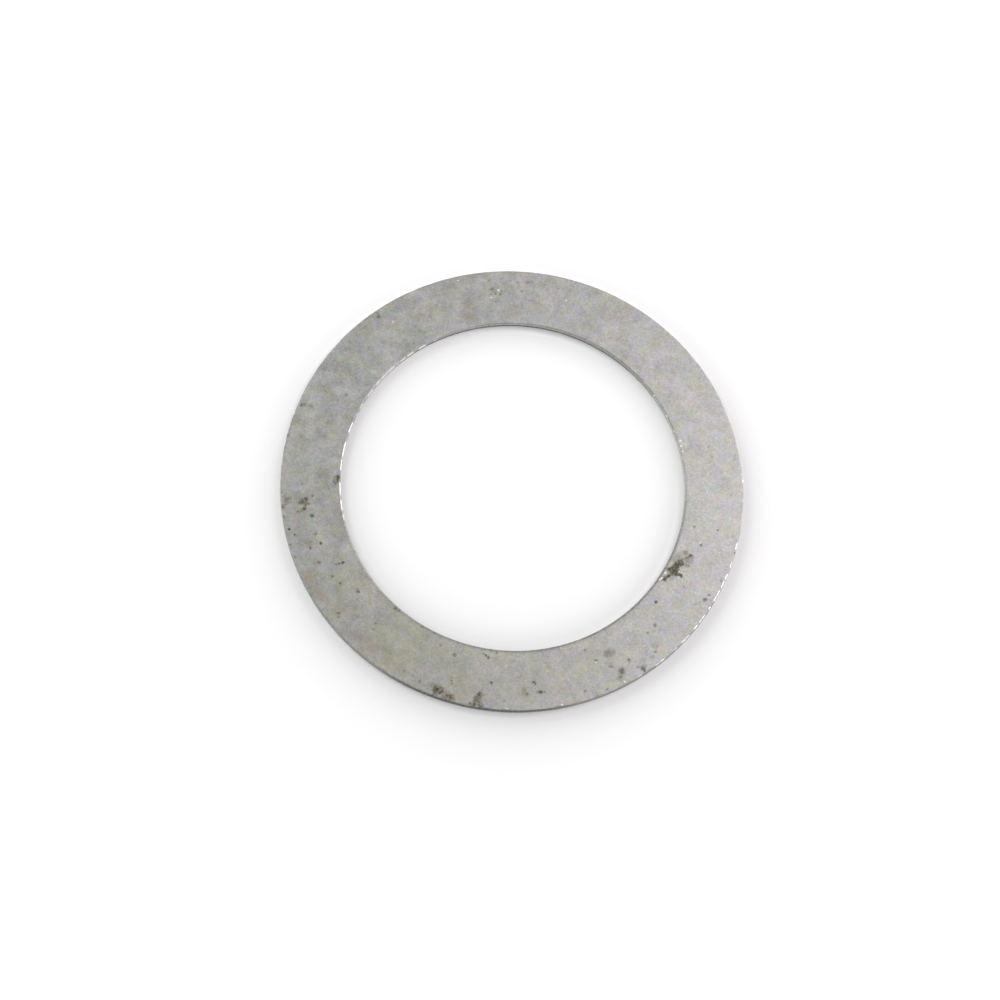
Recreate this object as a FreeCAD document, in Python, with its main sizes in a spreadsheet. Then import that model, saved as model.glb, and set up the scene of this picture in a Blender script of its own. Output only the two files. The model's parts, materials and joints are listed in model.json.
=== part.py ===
import FreeCAD, Part
import math
import os

import Sketcher

# A shim ring: a flat ring of thin cold-rolled steel strip that takes up end float
# between a bearing and the shoulder behind it. It is one piece, pierced and then
# blanked from the same side, so its whole form is in the section that is turned here.
#
# The ring lies on its lower face. Z is its axis, and the origin is the middle of the
# bore, on the plane that the ring lies on. Lengths are in millimetres.
#
# A sheared edge has four zones:
#   the roll, where the face was drawn down smoothly before the steel parted,
#   the land, a straight band that the tool burnished,
#   the tear, where the rest broke away, set back by the side clearance of the tool,
#   the break, the small round that tumbling left where the burr had been.
# The piercing punch came in through the upper face, so the bore has its roll at the
# top. The rim belongs to the blank that was pushed out, so its roll is at the bottom.

NODE = "shim_ring"
FULL_TURN = 360
DOWN, UP = -90, 90
SLIVER = 1e-6

# How a constraint names the start and the end of a piece of a sketch, and the sketch's
# own level axis, whose start is the origin.
START, END = 1, 2
LEVEL_AXIS = -1

# Alias, value and meaning of each driving dimension. The shares are of the strip's
# thickness, because that is what sets the zones of a sheared edge. The ring drops into
# a 30 mm housing with the same allowance that its bore has over the shaft.
SIZES = [
    ("shaft_diameter", 22.0, "shaft that the bore goes over, mm"),
    ("bore_allowance", 0.15, "bore over shaft, on the diameter, mm"),
    ("face_width", 3.85, "from the bore to the rim, on the radius, mm"),
    ("thickness", 0.5, "thickness of the strip, mm"),
    ("roll_width_share", 0.24, "roll, measured along the face"),
    ("roll_depth_share", 0.12, "roll, measured down the edge"),
    ("land_share", 0.42, "land, measured down the edge"),
    ("clearance_share", 0.07, "side clearance of the tool, on the radius"),
    ("break_share", 0.05, "radius of the break"),
]

BORE_RADIUS = "(sizes.shaft_diameter + sizes.bore_allowance) / 2"


def make_sheet(doc):
    """The spreadsheet of driving dimensions, a row for each."""
    sheet = doc.addObject("Spreadsheet::Sheet", "sizes")
    for row, (alias, value, meaning) in enumerate(SIZES, start=1):
        sheet.set(f"A{row}", alias)
        sheet.set(f"B{row}", str(value))
        sheet.set(f"C{row}", meaning)
        sheet.setAlias(f"B{row}", alias)
    doc.recompute()
    return sheet


def radii(sheet):
    """Radii of the bore and the rim, at their lands."""
    bore = (sheet.shaft_diameter + sheet.bore_allowance) / 2
    return bore, bore + sheet.face_width


class Section:
    """The ring's section as a sketch, where x is the radius and y is the height."""

    def __init__(self, body, sheet):
        self.sheet = sheet
        self.sketch = body.newObject("Sketcher::SketchObject", "section")
        upright = next(plane for plane in body.Origin.OriginFeatures if plane.Role == "XZ_Plane")
        self.sketch.AttachmentSupport = (upright, [""])
        self.sketch.MapMode = "FlatFace"

    def draw(self):
        """Draws the outline anticlockwise from the foot of the bore, and sizes it."""
        sheet = self.sheet
        bore, rim = radii(sheet)
        thick = sheet.thickness
        width = thick * sheet.roll_width_share
        depth = thick * sheet.roll_depth_share
        land = thick * sheet.land_share
        setback = thick * sheet.clearance_share

        lower_face = self.line((bore + setback, 0), (rim - width, 0))
        rim_roll = self.roll((rim - width, 0), width, depth, DOWN)
        rim_land = self.line((rim, depth), (rim, depth + land))
        rim_tear = self.line((rim, depth + land), (rim - setback, thick))
        upper_face = self.line((rim - setback, thick), (bore + width, thick))
        bore_roll = self.roll((bore + width, thick), width, depth, UP)
        bore_land = self.line((bore, thick - depth), (bore, thick - depth - land))
        bore_tear = self.line((bore, thick - depth - land), (bore + setback, 0))

        outline = [lower_face, rim_roll, rim_land, rim_tear]
        outline += [upper_face, bore_roll, bore_land, bore_tear]
        for piece, following in zip(outline, outline[1:] + outline[:1]):
            smooth = following in (rim_roll, bore_roll)
            self.constrain("Tangent" if smooth else "Coincident", piece, END, following, START)
        self.constrain("Horizontal", lower_face)
        self.constrain("Horizontal", upper_face)
        self.constrain("Vertical", rim_land)
        self.constrain("Vertical", bore_land)
        self.constrain("PointOnObject", lower_face, START, LEVEL_AXIS)

        self.across("bore_radius", (LEVEL_AXIS, START), (bore_land, START), bore, BORE_RADIUS)
        self.across("face_width", (bore_land, START), (rim_land, START), rim - bore, "sizes.face_width")
        self.up("thickness", (lower_face, START), (upper_face, START), thick, "sizes.thickness")

        self.across_share("rim_roll_width", (rim_roll, START), (rim_roll, END), "roll_width_share")
        self.up_share("rim_roll_depth", (rim_roll, START), (rim_roll, END), "roll_depth_share")
        self.up_share("rim_land", (rim_land, START), (rim_land, END), "land_share")
        self.across_share("rim_clearance", (rim_tear, END), (rim_tear, START), "clearance_share")

        self.across_share("bore_roll_width", (bore_roll, END), (bore_roll, START), "roll_width_share")
        self.up_share("bore_roll_depth", (bore_roll, END), (bore_roll, START), "roll_depth_share")
        self.up_share("bore_land", (bore_land, END), (bore_land, START), "land_share")
        self.across_share("bore_clearance", (bore_tear, START), (bore_tear, END), "clearance_share")

    def line(self, start, end):
        """A straight stretch of the outline."""
        points = [FreeCAD.Vector(radius, height, 0) for radius, height in (start, end)]
        return self.sketch.addGeometry(Part.LineSegment(*points), False)

    def roll(self, face_end, width, depth, way):
        """An arc that leaves the face smoothly and has turned by its span where it meets the land."""
        radius = (width**2 + depth**2) / (2 * depth)
        span = math.degrees(math.asin(width / radius))
        start_radius, start_height = face_end
        towards_face = math.copysign(radius, way)
        centre = FreeCAD.Vector(start_radius, start_height - towards_face, 0)
        circle = Part.Circle(centre, FreeCAD.Vector(0, 0, 1), radius)
        arc = Part.ArcOfCircle(circle, math.radians(way), math.radians(way + span))
        return self.sketch.addGeometry(arc, False)

    def constrain(self, *terms):
        """Adds a constraint and returns its number."""
        return self.sketch.addConstraint(Sketcher.Constraint(*terms))

    def across(self, name, start, end, value, expression):
        """A named distance along the radius, bound to the sheet."""
        self.bind(name, self.constrain("DistanceX", *start, *end, value), expression)

    def up(self, name, start, end, value, expression):
        """A named distance along the height, bound to the sheet."""
        self.bind(name, self.constrain("DistanceY", *start, *end, value), expression)

    def across_share(self, name, start, end, share):
        """A distance along the radius that is a share of the thickness."""
        value = self.sheet.thickness * getattr(self.sheet, share)
        self.across(name, start, end, value, f"sizes.thickness * sizes.{share}")

    def up_share(self, name, start, end, share):
        """A distance along the height that is a share of the thickness."""
        value = self.sheet.thickness * getattr(self.sheet, share)
        self.up(name, start, end, value, f"sizes.thickness * sizes.{share}")

    def bind(self, name, number, expression):
        """Names a constraint and binds it to the sheet."""
        self.sketch.renameConstraint(number, name)
        self.sketch.setExpression(f"Constraints.{name}", expression)


def turn_section(doc, sheet):
    """The section turned once round the axis."""
    body = doc.addObject("PartDesign::Body", NODE)
    body.Label = NODE
    section = Section(body, sheet)
    section.draw()
    doc.recompute()
    if not section.sketch.FullyConstrained:
        raise RuntimeError("the section can still move")

    ring = body.newObject("PartDesign::Revolution", "ring")
    ring.Profile = section.sketch
    ring.ReferenceAxis = (section.sketch, ["V_Axis"])
    ring.Angle = FULL_TURN
    doc.recompute()
    return body, ring


def break_edges(doc, sheet, body, ring):
    """Rounds the two edges where the burrs were: the rim's upper one and the bore's lower one."""
    bore, rim = radii(sheet)
    setback = sheet.thickness * sheet.clearance_share
    burred = [(rim - setback, sheet.thickness), (bore + setback, 0)]

    def has_burr(edge):
        place = (edge.Curve.Radius, edge.Curve.Center.z)
        return any(math.dist(place, burr) < SLIVER for burr in burred)

    names = []
    for number, edge in enumerate(ring.Shape.Edges, start=1):
        if isinstance(edge.Curve, Part.Circle) and has_burr(edge):
            names.append(f"Edge{number}")
    if len(names) != len(burred):
        raise RuntimeError(f"found {len(names)} burred edges, not {len(burred)}")

    rounds = body.newObject("PartDesign::Fillet", "breaks")
    rounds.Base = (ring, names)
    rounds.setExpression("Radius", "sizes.thickness * sizes.break_share")
    body.Tip = rounds
    doc.recompute()


def check(doc, sheet, body):
    """Stops where a feature failed or the ring isn't one sound solid of a likely volume."""
    for item in doc.Objects:
        if "Invalid" in item.State or "Error" in item.State:
            raise RuntimeError(f"{item.Label} failed: {item.State}")
    shape = body.Shape
    if shape.isNull() or not shape.isValid() or len(shape.Solids) != 1:
        raise RuntimeError(f"{body.Label} isn't one sound solid")

    bore, rim = radii(sheet)
    plain = math.pi * (rim**2 - bore**2) * sheet.thickness
    if not plain / 2 < shape.Volume < plain:
        raise RuntimeError(f"{body.Label} has {shape.Volume:.3f} mm3, a plain ring {plain:.3f}")
    print(f"{body.Label}: {shape.Volume:.3f} mm3, {len(shape.Faces)} faces, a plain ring {plain:.3f}")


def main():
    doc = FreeCAD.newDocument("shim_ring")
    sheet = make_sheet(doc)
    body, ring = turn_section(doc, sheet)
    break_edges(doc, sheet, body, ring)
    check(doc, sheet, body)
    os.makedirs("parts", exist_ok=True)
    body.Shape.exportStep(f"parts/{body.Label}.step")


main()
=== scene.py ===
import json
import math
from collections import namedtuple

import bpy
import numpy
from bpy.props import FloatProperty, FloatVectorProperty, IntProperty, PointerProperty
from mathutils import Matrix, Vector, noise


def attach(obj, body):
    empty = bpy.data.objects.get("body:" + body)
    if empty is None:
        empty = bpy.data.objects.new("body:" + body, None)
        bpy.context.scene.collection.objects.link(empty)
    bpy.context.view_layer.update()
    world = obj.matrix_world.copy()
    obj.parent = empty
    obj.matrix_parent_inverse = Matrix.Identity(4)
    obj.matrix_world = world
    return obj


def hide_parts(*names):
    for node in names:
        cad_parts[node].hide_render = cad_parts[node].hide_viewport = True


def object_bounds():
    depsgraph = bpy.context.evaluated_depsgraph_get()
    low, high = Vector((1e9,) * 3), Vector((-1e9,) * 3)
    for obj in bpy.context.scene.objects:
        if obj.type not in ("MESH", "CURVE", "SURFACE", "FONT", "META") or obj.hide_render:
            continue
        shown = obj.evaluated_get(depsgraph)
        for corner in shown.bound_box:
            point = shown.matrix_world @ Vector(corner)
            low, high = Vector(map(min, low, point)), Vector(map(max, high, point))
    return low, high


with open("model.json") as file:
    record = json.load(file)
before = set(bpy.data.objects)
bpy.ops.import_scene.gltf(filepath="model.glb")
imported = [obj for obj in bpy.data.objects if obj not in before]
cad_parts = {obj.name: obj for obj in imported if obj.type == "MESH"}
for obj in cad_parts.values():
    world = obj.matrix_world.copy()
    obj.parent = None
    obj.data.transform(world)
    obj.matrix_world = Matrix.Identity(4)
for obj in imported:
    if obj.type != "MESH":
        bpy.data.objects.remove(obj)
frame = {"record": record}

CAD_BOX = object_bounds()

bl_info = {
    "name": "Shim Ring",
    "version": (1, 0, 0),
    "blender": (4, 5, 0),
    "location": "3D View > Sidebar > Shim Ring",
    "description": "Builds a worn steel shim ring that lies on a white table",
    "category": "Add Mesh",
}

# Lengths are in metres. The ring lies on the table with its axis along Z and the middle
# of its bore at the origin, as in the frame.
MM = 0.001
NODE = "shim_ring"
BODY = "root"

MOUNTS = {mount["name"]: mount for mount in frame["record"]["mounts"]}
BORE = MOUNTS["bore"]
RIM = MOUNTS["rim"]
LAND = BORE["dims"]["length_mm"] * MM
THICKNESS = CAD_BOX[1].z - CAD_BOX[0].z

# The photograph's side in pixels, and the width of the camera's sensor in millimetres.
PHOTO_SIZE = 1000
SENSOR = 36.0


def length(name, description, default, **limits):
    """A length in metres for the sidebar, shown to a hundredth of a millimetre."""
    return FloatProperty(
        name=name, description=description, default=default, unit="LENGTH", precision=5, **limits
    )


def share(name, description, default):
    """A share from nothing to all."""
    return FloatProperty(
        name=name, description=description, default=default, min=0, max=1, subtype="FACTOR"
    )


def angle(name, description, degrees):
    """An angle, given in degrees and held in radians."""
    return FloatProperty(
        name=name, description=description, default=math.radians(degrees), subtype="ANGLE"
    )


def number(name, description, default, **limits):
    """A plain number."""
    return FloatProperty(name=name, description=description, default=default, **limits)


def pair(name, description, default):
    """Two plain numbers."""
    return FloatVectorProperty(name=name, description=description, default=default, size=2)


def colour(name, description, default):
    """A colour in linear light."""
    return FloatVectorProperty(
        name=name, description=description, default=default, size=3, min=0, max=1, subtype="COLOR"
    )


class RingSizes(bpy.types.PropertyGroup):
    """The section of the ring, as blanking and wear left it."""

    bore: length("Bore", "Radius of the bore at its land", BORE["dims"]["r_mm"] * MM, min=0.001)
    rim: length("Rim", "Radius of the rim at its land", RIM["dims"]["r_mm"] * MM, min=0.001)
    thickness: length("Thickness", "Thickness of the strip", THICKNESS, min=0.00005)
    land: length("Land", "Height of the burnished band", LAND, min=0.00001)
    roll_depth: length(
        "Roll depth",
        "How far down the edge the face was drawn",
        RIM["pos_m"][2] - LAND / 2,
    )
    roll_width: length("Roll width", "How far along the face it was drawn", 0.12 * MM)
    setback: length("Setback", "How far the torn band stands back from the land", 0.035 * MM)
    edge_break: length("Break", "Radius that tumbling left where the burr was", 0.025 * MM)
    tear: length("Tear", "How deep the torn band is pitted", 0.012 * MM)
    chips: length("Chips", "How far the burred edges are chipped", 0.035 * MM)
    sway: length("Sway", "How far the top of the torn band wanders up and down", 0.03 * MM)
    # The margin carries the edges' dirt and painted shade, and their painted glints, onto the face.
    margin: length("Margin", "How far along the face the dirt of an edge reaches", 0.1 * MM, min=0)
    segments: IntProperty(
        name="Segments", description="Steps round the ring", default=1300, min=64, max=1300
    )


class SteelFinish(bpy.types.PropertyGroup):
    """The steel and what lies on it."""

    steel: colour("Steel", "Clean face of the strip", (0.47, 0.47, 0.44))
    polish: colour("Burnished steel", "Straight band that the tool rubbed bright", (0.60, 0.60, 0.58))
    torn: colour("Torn steel", "Torn band of the edges", (0.38, 0.38, 0.36))
    # This dark colour is laid along the edges both as dirt and as painted shade.
    grime: colour("Grime", "Dirt that clings along the edges", (0.11, 0.105, 0.095))
    rust: colour("Rust", "Dark rust in a speck", (0.050, 0.043, 0.030))
    blot: colour("Blot", "Dark rust and dirt in a blot", (0.065, 0.054, 0.034))
    soil: colour("Soil", "Olive brown around the rust", (0.20, 0.18, 0.115))
    flush: colour("Flush", "Thin orange film", (0.46, 0.34, 0.24))
    olive: colour("Olive film", "Thin yellow green film", (0.42, 0.43, 0.245))
    # This bright metal is laid both on bare flecks and as painted glints.
    fleck_and_glint: colour("Fleck", "Bare metal in a fresh scratch", (0.95, 0.95, 0.93))
    roughness: share("Roughness", "Roughness of the clean face", 0.52)
    land_roughness: share("Land roughness", "Roughness of the burnished bands", 0.28)
    torn_roughness: share("Torn roughness", "Roughness of the torn bands", 0.7)
    mottle: share("Mottle", "How strongly the face is clouded", 0.235)
    tint: share("Tint", "How strongly the clouds are coloured", 0.16)
    grain: share("Grain", "How strongly the fine grain shows", 0.3)


class StageSettings(bpy.types.PropertyGroup):
    """The table, the light and the camera."""

    elevation: angle("Elevation", "Camera above the table", 71.03)
    roll: angle("Roll", "Turn of the camera about its own line of sight", 10.48)
    distance: length("Distance", "Camera to the middle of the ring", 126.7 * MM)
    focal: number("Focal length", "Lens, in millimetres", 70.73, min=1)
    shift: pair("Shift", "Shift of the picture, as a share of its width", (-0.0131, -0.0149))
    sky: number("Sky", "Strength of the light from above", 0.23, min=0)
    horizon: number("Horizon", "Strength of the light from low down", 1.73, min=0)
    band: pair("Band", "Heights, as sines, between which the horizon fades", (0.25, 0.5))
    tilt: number("Tilt", "How much brighter the horizon is at the back", 0.27)
    lamps: number("Lamps", "Level of all the lamps", 1.0, min=0)
    table: colour("Table", "Colour of the table", (0.88, 0.88, 0.88))
    glow: share("Glow", "White that the table shows to the eye and to the steel", 0.235)
    shade: share("Shade", "How much darker the table is beside the ring", 0.17)
    shade_peak: length("Shade peak", "How far from the ring that is darkest", 0.6 * MM, min=0.0001)
    shade_half: length("Shade half", "Distance in which the shade halves", 0.83 * MM, min=0.0001)


# Where the Mix node keeps its mask, its two colours and what they make.
MIX_MASK, MIX_UNDER, MIX_OVER = 0, 6, 7
MIX_RESULT = 2


class Wire:
    """A number that runs through the shader: each sign used on it adds its Math node."""

    def __init__(self, shader, socket):
        self.shader = shader
        self.socket = socket

    def math(self, operation, *terms):
        """The Math node of this operation on the terms."""
        return self.shader.node("ShaderNodeMath", {"operation": operation}, dict(enumerate(terms)))

    def __add__(self, other):
        return self.math("ADD", self, other)

    def __radd__(self, other):
        return self.math("ADD", other, self)

    def __sub__(self, other):
        return self.math("SUBTRACT", self, other)

    def __rsub__(self, other):
        return self.math("SUBTRACT", other, self)

    def __mul__(self, other):
        return self.math("MULTIPLY", self, other)

    def __rmul__(self, other):
        return self.math("MULTIPLY", other, self)

    def __truediv__(self, other):
        return self.math("DIVIDE", self, other)

    def __rtruediv__(self, other):
        return self.math("DIVIDE", other, self)

    def __pow__(self, other):
        return self.math("POWER", self, other)

    def __rpow__(self, other):
        return self.math("POWER", other, self)

    def over(self, other):
        """The larger of the two."""
        return self.math("MAXIMUM", self, other)

    def rise(self, low, high):
        """Goes smoothly from 0 at low to 1 at high."""
        return self.shader.node(
            "ShaderNodeMapRange",
            {"interpolation_type": "SMOOTHSTEP"},
            {"Value": self, "From Min": low, "From Max": high},
        )


class Shader:
    """A material or world whose nodes are added by expressions."""

    def __init__(self, owner):
        owner.use_nodes = True
        self.tree = owner.node_tree
        self.tree.nodes.clear()

    def node(self, kind, settings=None, sockets=None, output=0):
        """Adds a node, makes its settings, fills its sockets and returns one of its outputs."""
        added = self.tree.nodes.new(kind)
        for name, value in (settings or {}).items():
            setattr(added, name, value)
        for name, value in (sockets or {}).items():
            if isinstance(value, Wire):
                self.tree.links.new(value.socket, added.inputs[name])
            else:
                added.inputs[name].default_value = value
        return Wire(self, added.outputs[output]) if added.outputs else None

    def vector(self, operation, *terms, output="Vector"):
        """The Vector Math node of this operation on the terms."""
        sockets = dict(enumerate(terms))
        return self.node("ShaderNodeVectorMath", {"operation": operation}, sockets, output)

    def noise(self, place, clouds, output="Fac"):
        """Noise from 0 to 1, or coloured noise from the output named Color."""
        sockets = {
            "Vector": place,
            "Scale": 1 / clouds.size,
            "Detail": clouds.detail,
            "Roughness": clouds.roughness,
        }
        return self.node("ShaderNodeTexNoise", None, sockets, output)

    def attribute(self, name):
        """A zone of the mesh, from 0 to 1."""
        return self.node("ShaderNodeAttribute", {"attribute_name": name}, None, "Fac")

    def dab(self, away, near, far, strength):
        """A mark that has its strength as far as near, and fades smoothly until far."""
        sockets = {
            "Value": away,
            "From Min": near,
            "From Max": far,
            "To Min": strength,
            "To Max": 0,
        }
        return self.node("ShaderNodeMapRange", {"interpolation_type": "SMOOTHSTEP"}, sockets)

    def mix(self, mask, under, over):
        """One colour laid over another where the mask is 1."""
        sockets = {MIX_MASK: mask, MIX_UNDER: under, MIX_OVER: over}
        return self.node("ShaderNodeMix", {"data_type": "RGBA"}, sockets, MIX_RESULT)


def solid(rgb):
    """A colour with full opacity."""
    return (*rgb, 1.0)


BLACK = solid((0, 0, 0))
WHITE = solid((1, 1, 1))


# The camera

Sight = namedtuple("Sight", "eye across up back")

# How near and how far the camera sees.
CLIP_NEAR = 0.01
CLIP_FAR = 10


def line_of_sight(stage):
    """Where the camera stands and how its picture is turned."""
    back = Vector((0, -math.cos(stage.elevation), math.sin(stage.elevation)))
    level = Vector((1, 0, 0))
    upright = back.cross(level)
    across = level * math.cos(stage.roll) + upright * math.sin(stage.roll)
    up = upright * math.cos(stage.roll) - level * math.sin(stage.roll)
    return Sight(back * stage.distance, across, up, back)


def on_face(stage, pixel_across, pixel_down):
    """The place on the upper face that a pixel of the photograph shows."""
    sight = line_of_sight(stage)
    half = PHOTO_SIZE / 2
    right = ((pixel_across - half) / PHOTO_SIZE + stage.shift[0]) * SENSOR / stage.focal
    rise = ((half - pixel_down) / PHOTO_SIZE + stage.shift[1]) * SENSOR / stage.focal
    ray = sight.across * right + sight.up * rise - sight.back
    reach = (THICKNESS - sight.eye.z) / ray.z
    return sight.eye + ray * reach


def pixel_size(stage):
    """How long a pixel of the photograph is at the ring."""
    return stage.distance / stage.focal * SENSOR / PHOTO_SIZE


def place_camera(stage):
    """The camera at the photograph's angle and distance."""
    sight = line_of_sight(stage)
    data = bpy.data.cameras.new("camera")
    data.lens = stage.focal
    data.sensor_width = SENSOR
    data.shift_x, data.shift_y = stage.shift
    data.clip_start, data.clip_end = CLIP_NEAR, CLIP_FAR
    camera = bpy.data.objects.new("camera", data)
    turn = Matrix((sight.across, sight.up, sight.back)).transposed()
    camera.matrix_world = Matrix.Translation(sight.eye) @ turn.to_4x4()
    bpy.context.scene.collection.objects.link(camera)
    bpy.context.scene.camera = camera


# The light and the table

# The azimuth of the brightest side of the horizon, in degrees.
BRIGHT_SIDE = 75

# How the table's shade leans: towards which azimuth in degrees, how strong it is on average, and
# how much that swings. The last two are for the foot of the shade, right beside the ring.
Lean = namedtuple("Lean", "azimuth mean swing")
LEAN_OUTSIDE = Lean(310, 0.82, 0.5)
LEAN_INSIDE = Lean(0, 1.1, 0)
FOOT_OUTSIDE = Lean(355, 0.1, 1.25)
FOOT_INSIDE = Lean(220, 1.0, 1.0)

# The table's half side, how far it lies below the ring, and the distances from the axis between
# which its white becomes full.
TABLE_REACH = 3.0
TABLE_GAP = 0.001 * MM
WHITE_FROM = 15.5 * MM
WHITE_TO = 50 * MM

Lamp = namedtuple("Lamp", "name azimuth elevation distance side power tint")
LAMPS = [
    Lamp("right_lamp", 40, 45, 0.18, 0.07, 0.104, (1, 0.94, 1.0)),
    Lamp("top_lamp", 30, 70, 0.18, 0.07, 0.042, (1, 0.94, 1.0)),
    Lamp("left_lamp", 150, 38, 0.18, 0.07, 0.085, (0.95, 1, 0.93)),
]


def heading(degrees):
    """The level way towards an azimuth, from the axis."""
    azimuth = math.radians(degrees)
    return (math.cos(azimuth), math.sin(azimuth), 0)


def place_lamp(lamp, level):
    """A square lamp that faces the ring, with its angles in degrees and its power in watts."""
    data = bpy.data.lights.new(lamp.name, "AREA")
    data.size = lamp.side
    data.energy = lamp.power * level
    data.color = lamp.tint
    azimuth, elevation = math.radians(lamp.azimuth), math.radians(lamp.elevation)
    flat = math.cos(elevation)
    way = Vector((flat * math.cos(azimuth), flat * math.sin(azimuth), math.sin(elevation)))
    light = bpy.data.objects.new(lamp.name, data)
    turn = way.to_track_quat("Z", "Y").to_matrix()
    light.matrix_world = Matrix.Translation(way * lamp.distance) @ turn.to_4x4()
    light.visible_camera = False
    bpy.context.scene.collection.objects.link(light)


def light_sky(stage):
    """A sky that is brightest low down and towards the back."""
    world = bpy.data.worlds.new("sky")
    bpy.context.scene.world = world
    shader = Shader(world)
    way = shader.node("ShaderNodeTexCoord", None, None, "Generated")
    height = shader.node("ShaderNodeSeparateXYZ", None, {"Vector": way}, "Z")
    back = shader.vector("DOT_PRODUCT", way, heading(BRIGHT_SIDE), output="Value")
    low = height.rise(stage.band[1], stage.band[0])
    strength = stage.sky + low * (1 + back * stage.tilt) * (stage.horizon - stage.sky)
    sky = shader.node("ShaderNodeBackground", None, {"Color": WHITE, "Strength": strength})
    shader.node("ShaderNodeOutputWorld", None, {"Surface": sky})


def leaning(shader, way, outside, inner, outer):
    """How strong the shade is on this side of the ring, inside its bore and outside its rim."""
    strengths = []
    for lean in (inner, outer):
        towards = shader.vector("DOT_PRODUCT", way, heading(lean.azimuth), output="Value")
        strengths.append((lean.mean + towards * lean.swing).over(0))
    return strengths[0] + (strengths[1] - strengths[0]) * outside


def lay_table(stage):
    """A white table, a hair below the ring."""
    signs = ((-1, -1), (1, -1), (1, 1), (-1, 1))
    corners = [(x * TABLE_REACH, y * TABLE_REACH, -TABLE_GAP) for x, y in signs]
    mesh = bpy.data.meshes.new("table")
    mesh.from_pydata(corners, [], [(0, 1, 2, 3)])
    material = bpy.data.materials.new("table_top")
    shader = Shader(material)
    place = shader.node("ShaderNodeTexCoord", None, None, "Object")
    radius = shader.vector("LENGTH", place, output="Value")
    bore, rim = (mount["dims"]["r_mm"] * MM for mount in (BORE, RIM))
    away = (radius - rim).over(bore - radius).over(0)
    way = shader.vector("NORMALIZE", place)
    outside = radius.rise(bore, rim)
    lean = leaning(shader, way, outside, LEAN_INSIDE, LEAN_OUTSIDE)
    foot = leaning(shader, way, outside, FOOT_INSIDE, FOOT_OUTSIDE)
    near = foot + away.rise(0, stage.shade_peak) * (1 - foot)
    fading = 0.5 ** ((away - stage.shade_peak).over(0) / stage.shade_half)
    # The table's colour is darkened beside the ring: a painted shade, on top of the shadow that the
    # ring casts.
    shade = fading * near * lean * stage.shade
    shaded = shader.mix(shade, solid(stage.table), BLACK)
    top = shader.node("ShaderNodeBsdfDiffuse", None, {"Color": shaded})

    seen = shader.node("ShaderNodeLightPath", None, None, "Is Camera Ray")
    reflected = shader.node("ShaderNodeLightPath", None, None, "Is Glossy Ray")
    passed = shader.node("ShaderNodeLightPath", None, None, "Is Transmission Ray")
    white = stage.glow + radius.rise(WHITE_FROM, WHITE_TO) * (1 - stage.glow)
    sockets = {
        "Color": shader.mix(white, BLACK, WHITE),
        "Strength": seen.over(reflected).over(passed),
    }
    glow = shader.node("ShaderNodeEmission", None, sockets)
    both = shader.node("ShaderNodeAddShader", None, {0: top, 1: glow})
    shader.node("ShaderNodeOutputMaterial", None, {"Surface": both})
    mesh.materials.append(material)
    table = bpy.data.objects.new("table", mesh)
    bpy.context.scene.collection.objects.link(table)


# The ring's form

Row = namedtuple("Row", "radius height side part zone")
# A zone gives how torn and how burnished the steel is, how much of the edges' dirt and painted shade
# lies on it, how much of the bare metal painted where the edges glint, and how far it chips.
Zone = namedtuple("Zone", "torn burnished grime bare chip")

FACE = Zone(0, 0, 0, 0, 0)
MARGIN = Zone(0, 0, 0.4, 1, 0)
LANDED = Zone(0, 1, 1, 1, 0)
TEAR_FOOT = Zone(1, 0, 0.9, 0, 0.5)
TEAR_HEAD = Zone(1, 0, 0.9, 0.7, 0.5)
BROKEN = Zone(0.5, 0.5, 1, 1, 1)
# The first is where a roll leaves the face, the second where it meets the land.
ROLLED = (Zone(0, 0, 0.4, 0.15, 0), Zone(0, 0, 1, 1, 0))

# Rows of the section in each of its stretches.
FACE_ROWS = 28
UNDERSIDE_ROWS = 6
MARGIN_ROWS = 2
ROLL_ROWS = 6
LAND_ROWS = 3
TEAR_ROWS = 6
BREAK_ROWS = 4

# The noises that wear the edges: the size of their bumps, where in the noise they start, and how
# fast they change up the edge compared with round it.
Bumps = namedtuple("Bumps", "size seed upward")
COARSE_CHIPS = Bumps(0.9 * MM, 3.1, 0)
FINE_CHIPS = Bumps(0.25 * MM, 7.7, 1 / 2)
STREAKS = Bumps(0.14 * MM, 1.3, 1 / 3)
CRUMBLING = Bumps(0.07 * MM, 5.9, 1)
WAVES = Bumps(0.7 * MM, 9.2, 0)
DIMPLES = Bumps(0.3 * MM, 2.2, 1)

# Shares of those noises in a chip and in a pit, and the level above which the edge chips.
CHIP_COARSE, CHIP_FINE, CHIP_LEVEL = 0.8, 0.6, 0.15
PIT_MEAN, PIT_STREAK, PIT_CRUMB = 0.6, 0.6, 0.5
DIMPLE_DEPTH = 0.002 * MM

# Where the edges are darkened, partly by dirt and partly by painted shade: for each part of the edges,
# spans round the ring, each with its middle in degrees, the cosines between which it rises, and its
# strength.
Span = namedtuple("Span", "azimuth low high strength")
DIRT_AND_SHADE = {
    "face": [],
    "rim margin": [Span(105, 0.8, 0.97, 0.8), Span(185, 0.85, 0.98, 0.6), Span(262, 0.9, 0.98, 0.5)],
    "rim wall": [Span(270, 0.88, 0.98, 0.9), Span(245, 0.85, 0.98, 0.2)],
    "rim land": [Span(300, 0.8, 0.96, 0.9), Span(265, 0.8, 0.95, 0.7)],
    "bore roll": [Span(300, 0.2, 0.7, 1.0), Span(235, 0.7, 0.95, 0.7), Span(190, 0.8, 0.95, 0.6)],
    "bore land": [Span(90, 0.5, 0.85, 0.5)],
    "bore wall": [Span(95, 0.5, 0.85, 0.95), Span(140, 0.8, 0.95, 0.8)],
}


def blend(first, last, share_of):
    """A zone between two others."""
    return Zone(*(a + (b - a) * share_of for a, b in zip(first, last)))


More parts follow.
